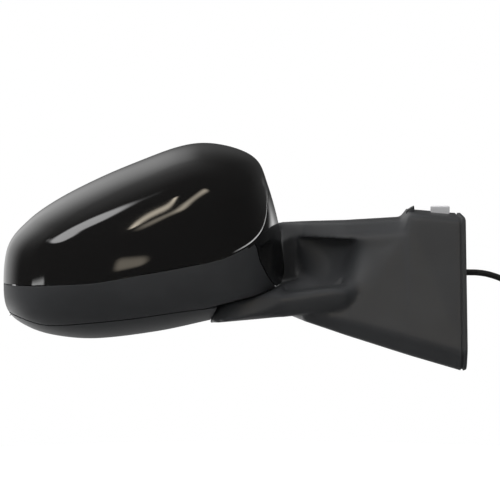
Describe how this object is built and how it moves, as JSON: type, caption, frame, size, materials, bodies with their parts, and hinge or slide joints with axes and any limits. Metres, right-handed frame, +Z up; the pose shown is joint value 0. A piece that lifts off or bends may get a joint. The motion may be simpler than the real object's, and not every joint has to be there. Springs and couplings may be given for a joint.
{
  "type": "car side mirror",
  "caption": "Exterior door mirror: rounded folding head with a glossy cap over a grained housing, on a foot with arm and beam that bolts to the door.",
  "frame": {"origin": "centre of the door bolts' circle, on the seal's door face", "axes": "+X out of the foot into the door, along the bolts; +Y to the rear of the car, the way the glass faces; +Z up"},
  "size_m": [0.457, 0.122, 0.3287],
  "materials": {
    "cap_paint": "gloss black paint on moulded plastic",
    "grained_plastic": "fine moulded grain, satin black",
    "gloss_trim": "gloss black moulded trim",
    "mirror_glass": "chromed back, flat",
    "black_nylon": "moulded black nylon",
    "natural_acetal": "natural acetal",
    "brass": "machined",
    "motor_can": "plated can",
    "zinc_steel": "zinc plated",
    "spring_steel": "oiled spring steel",
    "cast_alloy": "die-cast, as cast",
    "seal_rubber": "foam rubber",
    "clip_plastic": "light grey moulded plastic",
    "cable_jacket": "smooth cable jacket"
  },
  "bodies": {
    "foot": {"foot_cover": "grained_plastic", "base_casting": "cast_alloy", "pivot_post": "zinc_steel", "bearing_washer": "natural_acetal", "stop_ring": "zinc_steel", "spring_seat": "zinc_steel", "fold_spring": "spring_steel", "retaining_ring": "zinc_steel", "door_gasket": "seal_rubber", "door_bushes": "zinc_steel", "cover_screws": "zinc_steel", "locating_clip": "clip_plastic", "cable_grommet": "seal_rubber", "cable": "cable_jacket", "cable_plug": "black_nylon", "plug_pins": "brass"},
    "head": {"painted_cap": "cap_paint", "side_band": "grained_plastic", "lower_cover": "grained_plastic", "rear_bezel": "gloss_trim", "pitch_motor": "motor_can", "yaw_motor": "motor_can", "actuator_base": "black_nylon", "actuator_cover": "black_nylon", "actuator_screws": "zinc_steel", "head_frame": "black_nylon", "frame_screws": "zinc_steel"},
    "gimbal": {"gimbal_ring": "natural_acetal"},
    "glass": {"mirror_glass": "mirror_glass", "glass_holder": "black_nylon"},
    "pitch_plunger": {"pitch_plunger": "natural_acetal"},
    "yaw_plunger": {"yaw_plunger": "natural_acetal"},
    "pitch_wheel": {"pitch_wheel": "natural_acetal"},
    "yaw_wheel": {"yaw_wheel": "natural_acetal"},
    "pitch_worm": {"pitch_worm": "brass"},
    "yaw_worm": {"yaw_worm": "brass"}
  },
  "joints": [
    {"name": "head_fold", "type": "hinge", "parent": "foot", "child": "head", "pos_m": [-0.175, 0, -0.0033], "axis": [0.2504, 0, -0.9681], "range_deg": [-40, 52]},
    {"name": "glass_pitch", "type": "hinge", "parent": "head", "child": "gimbal", "pos_m": [-0.262, 0.024, 0.0377], "axis": [1, 0, 0], "range_deg": [-8, 8]},
    {"name": "glass_yaw", "type": "hinge", "parent": "gimbal", "child": "glass", "pos_m": [-0.262, 0.024, 0.0377], "axis": [0, 0, 1], "range_deg": [-8, 8]},
    {"name": "pitch_plunger_slide", "type": "slide", "parent": "head", "child": "pitch_plunger", "axis": [0, 1, 0], "range_m": [-0.0043, 0.0043]},
    {"name": "yaw_plunger_slide", "type": "slide", "parent": "head", "child": "yaw_plunger", "axis": [0, 1, 0], "range_m": [-0.0043, 0.0043]},
    {"name": "pitch_wheel_spin", "type": "hinge", "parent": "head", "child": "pitch_wheel", "pos_m": [-0.262, -0.008, 0.0677], "axis": [0, 1, 0], "range_deg": [-380, 380]},
    {"name": "yaw_wheel_spin", "type": "hinge", "parent": "head", "child": "yaw_wheel", "pos_m": [-0.232, -0.008, 0.0377], "axis": [0, 1, 0], "range_deg": [-380, 380]},
    {"name": "pitch_worm_spin", "type": "hinge", "parent": "head", "child": "pitch_worm", "pos_m": [-0.262, -0.005, 0.0519], "axis": [1, 0, 0], "range_deg": [-4560, 4560]},
    {"name": "yaw_worm_spin", "type": "hinge", "parent": "head", "child": "yaw_worm", "pos_m": [-0.2478, -0.005, 0.0377], "axis": [0, 0, 1], "range_deg": [-4560, 4560]}
  ],
  "couplings": [
    {"joint": "pitch_plunger_slide", "follows": "glass_pitch", "m_per_rad": -0.03},
    {"joint": "yaw_plunger_slide", "follows": "glass_yaw", "m_per_rad": 0.03},
    {"joint": "pitch_wheel_spin", "follows": "glass_pitch", "ratio": -47.124},
    {"joint": "yaw_wheel_spin", "follows": "glass_yaw", "ratio": 47.124},
    {"joint": "pitch_worm_spin", "follows": "glass_pitch", "ratio": -565.49},
    {"joint": "yaw_worm_spin", "follows": "glass_yaw", "ratio": 565.49}
  ]
}
